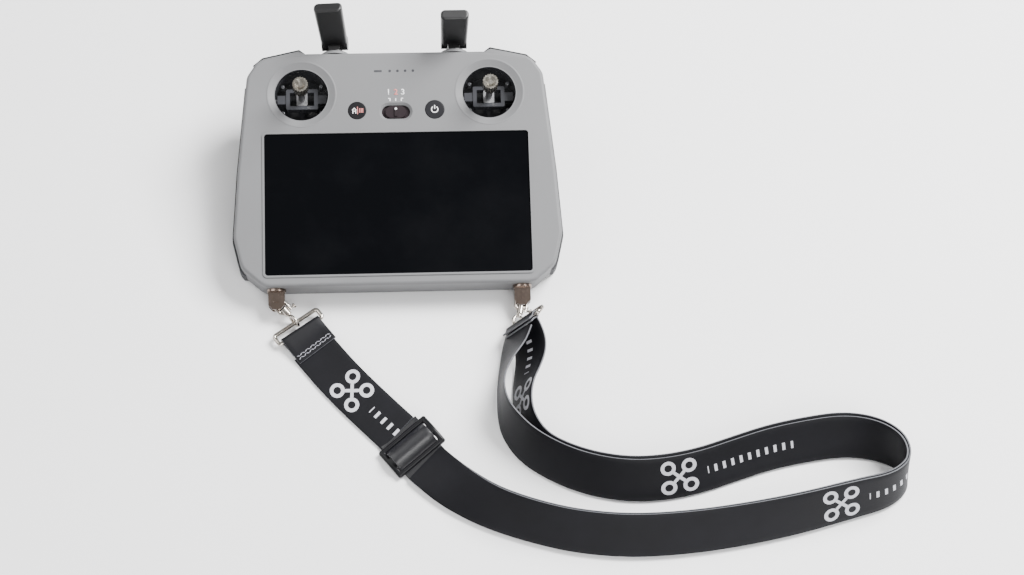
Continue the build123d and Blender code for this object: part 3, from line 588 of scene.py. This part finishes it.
def addBuckle():
    longLine, alongLine, normal = buckleAxes()
    endBar, middleBar, _ = buckle["bars"]
    gap = (buckle["depth"] - 2 * endBar - middleBar) / 2
    halfLong, halfDepth = buckle["length"] / 2, buckle["depth"] / 2
    cutAt = buckle["cutAt"]
    cutsX = [-halfLong, -halfLong + buckle["rail"], -cutAt, 0, cutAt, halfLong - buckle["rail"], halfLong]
    cutsY = [-halfDepth, -halfDepth + endBar, -middleBar / 2, middleBar / 2, halfDepth - endBar, halfDepth]
    bm = bmesh.new()
    bmesh.ops.create_grid(bm, x_segments=len(cutsX) - 1, y_segments=len(cutsY) - 1, size=1)
    for vert in bm.verts:
        i = round((vert.co.x + 1) / 2 * (len(cutsX) - 1))
        j = round((vert.co.y + 1) / 2 * (len(cutsY) - 1))
        vert.co = (cutsX[i], cutsY[j], 0)
    slots = [f for f in bm.faces
             if abs(f.calc_center_median().x) < halfLong - buckle["rail"]
             and abs(abs(f.calc_center_median().y) - (middleBar / 2 + gap / 2)) < gap / 2 - 0.1]
    bmesh.ops.delete(bm, geom=slots, context="FACES")
    raiseFaces(bm, buckle["thickness"])
    bmesh.ops.recalc_face_normals(bm, faces=bm.faces[:])
    corners = [e for e in bm.edges if e.is_manifold and e.calc_face_angle() > radians(60)]
    bmesh.ops.bevel(bm, geom=corners, offset=buckle["soften"], segments=4, profile=0.5, affect="EDGES",
                    material=-1)
    for vert in bm.verts:  # the middle bar stands proud, where the webbing turns over it
        nearMiddle = max(0.0, 1 - (vert.co.y / (middleBar / 2 + gap * 0.9)) ** 2)
        vert.co.z += buckle["crown"] * nearMiddle - buckle["thickness"] / 2
    smoothFaces(bm)
    place = axesMatrix(longLine, normal.cross(longLine), normal, Vector(buckle["centre"]) / 1000)
    bmesh.ops.transform(bm, matrix=place @ Matrix.Scale(0.001, 4), verts=bm.verts[:])
    piece = addPiece("strapBuckle", bm, mouldedPlastic("buckleMoulding", (0.006, 0.006, 0.007), 0.34,
                                                       grain=900, grainDepth=0.00004, **dullGloss))
    piece.data.set_sharp_from_angle(angle=radians(38))
    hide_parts("slider")
    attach(piece, "shell")


def addBuckleLoop():
    # the webbing comes up through one slot, over the middle bar and down through the other
    longLine, alongLine, normal = buckleAxes()
    points = [(Vector(buckle["centre"]) + alongLine * along + normal * height) / 1000
              for along, height in buckleLoop["profile"]]
    places = readLine("buckleLoopLine", points)
    piece, _ = layRibbon("buckleLoop", places, [longLine] * len(places), loopCloth, rimHighlightFinish,
                         width=buckleLoop["width"])
    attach(piece, "shell")


# pulled tight over the bar, so it shines more
loopCloth = webbingFinish("loopCloth", [], roughness=0.36, specular=0.6)
addBuckle()
addBuckleLoop()
print("buckle made")

# ---- printed marks on the face
marks = {"lift": 0.03, "thickness": 0.06, "digitSize": 1.38, "digitBold": 0.12}
modeMarks = {"digitU": (-3.7, 0.1, 3.7), "digitV": 102.0, "digitHeight": 3.1,
             "tickU": 2.9, "tickV": 98.0, "tickWidth": 0.55, "tickLength": 1.5,
             "footOut": 0.45, "footV": 98.7, "footLength": 1.1, "footWidth": 0.5}
knobDot = {"v": 93.1, "lift": 0.12, "radius": 0.62}
buttonSign = {"u": 20, "v": 92.4, "lift": 0.22}
powerSign = {"radius": 1.65, "line": 0.5, "from": radians(125), "to": radians(415), "barY": 1.25,
             "barLength": 2.0}
# bars as x, y, length, width and turn
houseBars = [(-1.9, 0.75, 1.7, 0.45, radians(48)), (-0.95, 0.75, 1.7, 0.45, radians(-48)),
             (-2.15, -0.65, 0.45, 1.9), (-0.7, -0.65, 0.45, 1.9), (-1.43, -0.35, 1.3, 0.4)]
pauseBars = [(0.25, 0, 0.42, 4.0)] + [(x, 0, 0.45, 2.4) for x in (1.35, 2.15, 2.95)]
inkWhite = paint("inkWhite", (0.72, 0.72, 0.73))
inkRed = paint("inkRed", (0.50, 0.17, 0.16))


def flatPiece(name, bm, material, place, body):
    # a thin printed patch: the drawing is in millimetres
    bmesh.ops.transform(bm, matrix=place, verts=bm.verts[:])
    piece = addPiece(name, bm, material)
    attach(piece, body)


def thicken(bm):
    raiseFaces(bm, marks["thickness"])
    bmesh.ops.recalc_face_normals(bm, faces=bm.faces[:])


def addBar(bm, x, y, length, width, turn=0.0):
    place = Matrix.Translation((x, y, 0)) @ Matrix.Rotation(turn, 4, "Z")
    shape = place @ Matrix.Diagonal((length / 2, width / 2, 1, 1))
    bmesh.ops.create_grid(bm, x_segments=1, y_segments=1, size=1, matrix=shape)


def addArc(bm, radius, width, fromAngle, toAngle, steps=28):
    # a flat arc about the drawing's middle
    start = Matrix.Rotation(fromAngle, 3, "Z")
    ends = [bm.verts.new(start @ Vector((radius + side * width / 2, 0, 0))) for side in (-1, 1)]
    edge = bm.edges.new(ends)
    bmesh.ops.spin(bm, geom=ends + [edge], cent=(0, 0, 0), axis=(0, 0, 1), angle=toAngle - fromAngle,
                   steps=steps)


def addDigit(text, u, v, height, material):
    font = bpy.data.curves.new("digit" + text, "FONT")
    font.body = text
    font.size = height * marks["digitSize"]
    font.align_x = "CENTER"
    font.align_y = "CENTER"
    font.offset = marks["digitBold"]
    holder = bpy.data.objects.new("digit" + text, font)
    bpy.context.scene.collection.objects.link(holder)
    bpy.context.view_layer.update()
    mesh = bpy.data.meshes.new_from_object(holder)
    bpy.data.objects.remove(holder)
    bm = bmesh.new()
    bm.from_mesh(mesh)
    bpy.data.meshes.remove(mesh)
    thicken(bm)
    flatPiece("modeMark" + text, bm, material, faceMatrix(u, v, marks["lift"]), "shell")


def addModeMarks():
    for text, u, material in zip("123", modeMarks["digitU"], (inkWhite, inkRed, inkWhite)):
        addDigit(text, u, modeMarks["digitV"], modeMarks["digitHeight"], material)
    bm = bmesh.new()
    for side in (-1, 0, 1):
        u = side * modeMarks["tickU"]
        addBar(bm, u, modeMarks["tickV"], modeMarks["tickWidth"], modeMarks["tickLength"])
        if side:  # the outer ticks have a foot that points away from the middle one
            addBar(bm, u + side * modeMarks["footOut"], modeMarks["footV"], modeMarks["footLength"],
                   modeMarks["footWidth"])
    thicken(bm)
    flatPiece("modeTicks", bm, inkWhite, faceMatrix(0, 0, marks["lift"]), "shell")


def addKnobDot():
    bm = bmesh.new()
    bmesh.ops.create_circle(bm, cap_ends=True, segments=20, radius=knobDot["radius"])
    thicken(bm)
    place = faceMatrix(0, knobDot["v"], knobDot["lift"])
    flatPiece("knobDot", bm, inkWhite, place, "mode_switch")


def addPowerSign():
    place = faceMatrix(buttonSign["u"], buttonSign["v"], buttonSign["lift"])
    bm = bmesh.new()
    addArc(bm, powerSign["radius"], powerSign["line"], powerSign["from"], powerSign["to"])
    addBar(bm, 0, powerSign["barY"], powerSign["line"], powerSign["barLength"])
    thicken(bm)
    flatPiece("powerSign", bm, inkWhite, place, "power_button")


def addPauseButtonSign(name, bars, ink):
    place = faceMatrix(-buttonSign["u"], buttonSign["v"], buttonSign["lift"])
    bm = bmesh.new()
    for bar in bars:
        addBar(bm, *bar)
    thicken(bm)
    flatPiece(name, bm, ink, place, "home_pause_button")


addModeMarks()
addKnobDot()
addPowerSign()
addPauseButtonSign("homeSign", houseBars, inkWhite)
addPauseButtonSign("pauseSign", pauseBars, inkRed)
print("marks printed")

# ---- round fittings on the casing
casingGrey = mouldedPlastic("casingGrey", (0.132, 0.133, 0.137), 0.60, grain=1500, grainDepth=0.00005,
                            spread=0.03)
sides = (("Left", -1), ("Right", 1))
antennaBoss = {"u": 31, "v": 124, "w": -7.5,
               "outline": [(5.7, 0.0), (7.6, 0.0), (7.5, 0.9), (7.0, 1.5), (6.0, 1.6), (5.7, 1.3)]}


def spinRing(name, profile, centre, axis, material, body, steps=64):
    # turns a small closed outline, drawn as (radius, height) in millimetres, about an axis
    bm = bmesh.new()
    corners = [bm.verts.new((radius, 0, height)) for radius, height in profile]
    edges = [bm.edges.new((a, b)) for a, b in zip(corners, corners[1:] + corners[:1])]
    bmesh.ops.spin(bm, geom=corners + edges, cent=(0, 0, 0), axis=(0, 0, 1), angle=2 * pi, steps=steps,
                   use_merge=True)
    bmesh.ops.remove_doubles(bm, verts=bm.verts[:], dist=0.001)
    bmesh.ops.recalc_face_normals(bm, faces=bm.faces[:])
    smoothFaces(bm)
    zLine = Vector(axis).normalized()
    xLine = acrossFace if abs(zLine.x) < 0.9 else upFace
    xLine = (xLine - zLine * xLine.dot(zLine)).normalized()
    place = axesMatrix(xLine, zLine.cross(xLine), zLine, centre) @ Matrix.Scale(0.001, 4)
    bmesh.ops.transform(bm, matrix=place, verts=bm.verts[:])
    piece = addPiece(name, bm, material)
    piece.data.set_sharp_from_angle(angle=radians(35))
    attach(piece, body)


for side, sign in sides:
    bossPlace = onFace(sign * antennaBoss["u"], antennaBoss["v"], antennaBoss["w"])
    spinRing("antennaBoss" + side, antennaBoss["outline"], bossPlace, upFace, casingGrey, "shell")

# the grey casing runs up over the front of each dark shoulder and leaves a thin dark strip along its top
shoulderBezel = {
    "outline": [(42.0, 122.6), (46.2, 123.7), (49.8, 125.5), (67.9, 121.5), (71.9, 118.2), (69.6, 115.0)],
    "fromW": -3.4, "toW": -0.25, "soften": 1.3,
}


def addShoulderBezel(side, sign):
    bm = bmesh.new()
    corners = [bm.verts.new((sign * u, v, shoulderBezel["fromW"])) for u, v in shoulderBezel["outline"]]
    bm.faces.new(corners)
    raiseFaces(bm, shoulderBezel["toW"] - shoulderBezel["fromW"])
    bmesh.ops.recalc_face_normals(bm, faces=bm.faces[:])
    top = [e for e in bm.edges if all(abs(v.co.z - shoulderBezel["toW"]) < 0.01 for v in e.verts)]
    bmesh.ops.bevel(bm, geom=top, offset=shoulderBezel["soften"], segments=4, profile=0.5, affect="EDGES",
                    material=-1)
    smoothFaces(bm)
    bmesh.ops.transform(bm, matrix=faceMatrix(0, 0), verts=bm.verts[:])
    piece = addPiece("shoulderBezel" + side, bm, casingGrey)
    piece.data.set_sharp_from_angle(angle=radians(40))
    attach(piece, "shell")


for side, sign in sides:
    addShoulderBezel(side, sign)

# ---- inside each stick well: the stick unit's glossy frame with a lug at each corner, below the yoke's axle
wellFrame = {"u": 48.5, "v": 101.7, "w": -14.6, "width": 22.4, "height": 17.0, "wall": 1.6, "depth": 1.4,
             "lugRadius": 1.25, "lugTaper": 0.8, "lugHeight": 5.6, "lugInset": 1.3, "soften": 0.3}
wellLip = {"outline": [(16.9, -0.1), (17.3, 0.12), (17.9, 0.12), (18.3, -0.1)], "steps": 96}


def addWellFrame(side, sign, finish):
    halfX, halfY = wellFrame["width"] / 2, wellFrame["height"] / 2
    bm = bmesh.new()
    outline = Matrix.Diagonal((halfX, halfY, 1, 1))
    bmesh.ops.create_grid(bm, x_segments=1, y_segments=1, size=1, matrix=outline)
    inset = bmesh.ops.inset_region(bm, faces=bm.faces[:], thickness=wellFrame["wall"], use_even_offset=True)
    middle = [f for f in bm.faces if f not in inset["faces"]]
    bmesh.ops.delete(bm, geom=middle, context="FACES")
    raiseFaces(bm, wellFrame["depth"])
    for cornerX in (-1, 1):
        for cornerY in (-1, 1):
            middleOfLug = (cornerX * (halfX - wellFrame["lugInset"]),
                           cornerY * (halfY - wellFrame["lugInset"]), wellFrame["lugHeight"] / 2)
            bmesh.ops.create_cone(bm, cap_ends=True, segments=20, radius1=wellFrame["lugRadius"],
                                  radius2=wellFrame["lugRadius"] * wellFrame["lugTaper"],
                                  depth=wellFrame["lugHeight"],
                                  matrix=Matrix.Translation(middleOfLug))
    bmesh.ops.recalc_face_normals(bm, faces=bm.faces[:])
    sharp = [e for e in bm.edges if e.is_manifold and e.calc_face_angle() > radians(60)]
    bmesh.ops.bevel(bm, geom=sharp, offset=wellFrame["soften"], segments=2, profile=0.5, affect="EDGES",
                    material=-1)
    bmesh.ops.transform(bm, matrix=faceMatrix(sign * wellFrame["u"], wellFrame["v"], wellFrame["w"]),
                        verts=bm.verts[:])
    piece = addPiece("wellFrame" + side, bm, finish)
    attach(piece, "shell")


wellGloss = mouldedPlastic("wellFrameGloss", (0.06, 0.061, 0.066), 0.14)
for side, sign in sides:
    addWellFrame(side, sign, wellGloss)
    spinRing("wellLip" + side, wellLip["outline"], onFace(sign * wellFrame["u"], wellFrame["v"]), outOfFace,
             casingGrey, "shell", wellLip["steps"])
print("fittings added")

# ---- finishes of the carried-over pieces
finishes = {
    "casing": (casingGrey, ["front_shell", "rear_shell"]),
    "grip": (softRubber("gripRubber", (0.034, 0.034, 0.037)), ["grip_left", "grip_right"]),
    "shoulder": (mouldedPlastic("shoulderDark", (0.008, 0.008, 0.009), 0.5, **dullGloss),
                 ["shoulder_left", "shoulder_right"]),
    "glass": (screenGlass("screenGlass"), ["screen_glass"]),
    "panel": (screenGlass("panelGlass"), ["lcd_panel"]),
    "frame": (turnedMetal("castMagnesium", (0.5, 0.5, 0.51), 0.45), ["mid_frame"]),
    "board": (boardFinish("solderMask", (0.012, 0.07, 0.035)), ["main_board", "button_board"]),
    "pack": (mouldedPlastic("packWrap", (0.02, 0.02, 0.024), 0.3), ["battery_pack"]),
    "speaker": (mouldedPlastic("speakerBox", (0.025, 0.025, 0.027), 0.45), ["speaker"]),
    "light": (mouldedPlastic("lightPipe", (0.045, 0.045, 0.05), 0.3), ["led_light_pipes"]),
    "screw": (turnedMetal("screwSteel", (0.18, 0.18, 0.19), 0.35), ["housing_screws", "top_screws"]),
    "axle": (turnedMetal("groundSteel", (0.55, 0.55, 0.56), 0.28),
             ["dial_axle_left", "dial_axle_right", "antenna_pin_left", "antenna_pin_right", "usb_port"]),
    "well": (mouldedPlastic("wellPlastic", (0.032, 0.033, 0.037), 0.24),
             ["stick_well_left", "stick_well_right"]),
    "yoke": (mouldedPlastic("yokePlastic", (0.036, 0.037, 0.042), 0.2),
             ["stick_yoke_left", "stick_yoke_right"]),
    "post": (turnedMetal("postMetal", (0.20, 0.20, 0.205), 0.34), ["stick_post_left", "stick_post_right"]),
    "head": (platedMetal("headMetal", (0.44, 0.42, 0.37), 0.18), ["stick_head_left", "stick_head_right"]),
    "pauseButton": (mouldedPlastic("buttonBlack", (0.006, 0.006, 0.007), 0.4, **dullGloss),
                    ["home_pause_button", "rear_button_left", "rear_button_right"]),
    "knob": (mouldedPlastic("knobBlack", (0.018, 0.013, 0.015), 0.32, **dullGloss), ["mode_switch_knob"]),
    "power": (mouldedPlastic("buttonCharcoal", (0.012, 0.012, 0.014), 0.4, **dullGloss),
              ["power_button", "record_button", "shutter_button", "dial_left", "dial_right"]),
    "antenna": (mouldedPlastic("antennaBlack", (0.0055, 0.0055, 0.006), 0.4, grain=700),
                ["antenna_base_left", "antenna_base_right", "antenna_blade_left", "antenna_blade_right"]),
    "bracket": (platedMetal("bracketPlate", (0.25, 0.195, 0.165), 0.14),
                ["strap_bracket_left", "strap_bracket_right", "bracket_pin_left", "bracket_pin_right"]),
    "hook": (platedMetal("hookPlate", (0.50, 0.47, 0.43), 0.12),
             ["hook_left", "hook_right", "hook_gate_left", "hook_gate_right",
              "swivel_eye_left", "swivel_eye_right", "strap_ring_left", "strap_ring_right"]),
    "cloth": (foldCloth, ["strap_left", "strap_inner", "strap_outer", "strap_fold_left", "strap_fold_right"]),
    "buckle": (bpy.data.materials["buckleMoulding"], ["slider"]),
}
for finish, names in finishes.values():
    for nodeName in names:
        node = nodes[nodeName]
        if not node.material_slots:
            node.data.materials.append(finish)
        for materialSlot in node.material_slots:
            materialSlot.material = finish
unfinished = sorted(set(nodes) - {n for finish, names in finishes.values() for n in names})
print("finishes given, left without one:", unfinished)

# ---- floor and light
studio = {
    "floor": 6.0, "floorColour": (0.90, 0.90, 0.905), "world": 0.46,
    "lights": [("key", (0.85, 0.45, 1.2), 0.8, 80.0), ("front", (0.45, -1.35, 1.15), 0.9, 24.0),
               ("left", (-1.1, 0.1, 1.3), 1.2, 13.0)],
    "aim": (0.05, -0.06, 0.0),
}


def addFloor():
    bm = bmesh.new()
    bmesh.ops.create_grid(bm, x_segments=1, y_segments=1, size=studio["floor"] / 2)
    material, tree, shader = startMaterial("paleFloor", studio["floorColour"], 0.7)
    tint = remap(tree, noise(tree, coordinates(tree), 3, 2), 0.3, 0.7, 0, 1)
    tree.links.new(blendColours(tree, tint, shade(studio["floorColour"], 0.985), studio["floorColour"]),
                   shader.inputs["Base Color"])
    floor = addPiece("floor", bm, material)


def addLights():
    world = bpy.data.worlds.new("studioWorld")
    bpy.context.scene.world = world
    world.use_nodes = True
    world.node_tree.nodes["Background"].inputs["Color"].default_value = (1, 1, 1, 1)
    world.node_tree.nodes["Background"].inputs["Strength"].default_value = studio["world"]
    for name, place, size, power in studio["lights"]:
        lamp = bpy.data.lights.new(name, "AREA")
        lamp.size = size
        lamp.energy = power
        holder = bpy.data.objects.new(name, lamp)
        bpy.context.scene.collection.objects.link(holder)
        holder.location = place
        aim = Vector(studio["aim"]) - Vector(place)
        holder.rotation_euler = aim.to_track_quat("-Z", "Y").to_euler()


addFloor()
addLights()
print("studio lit")
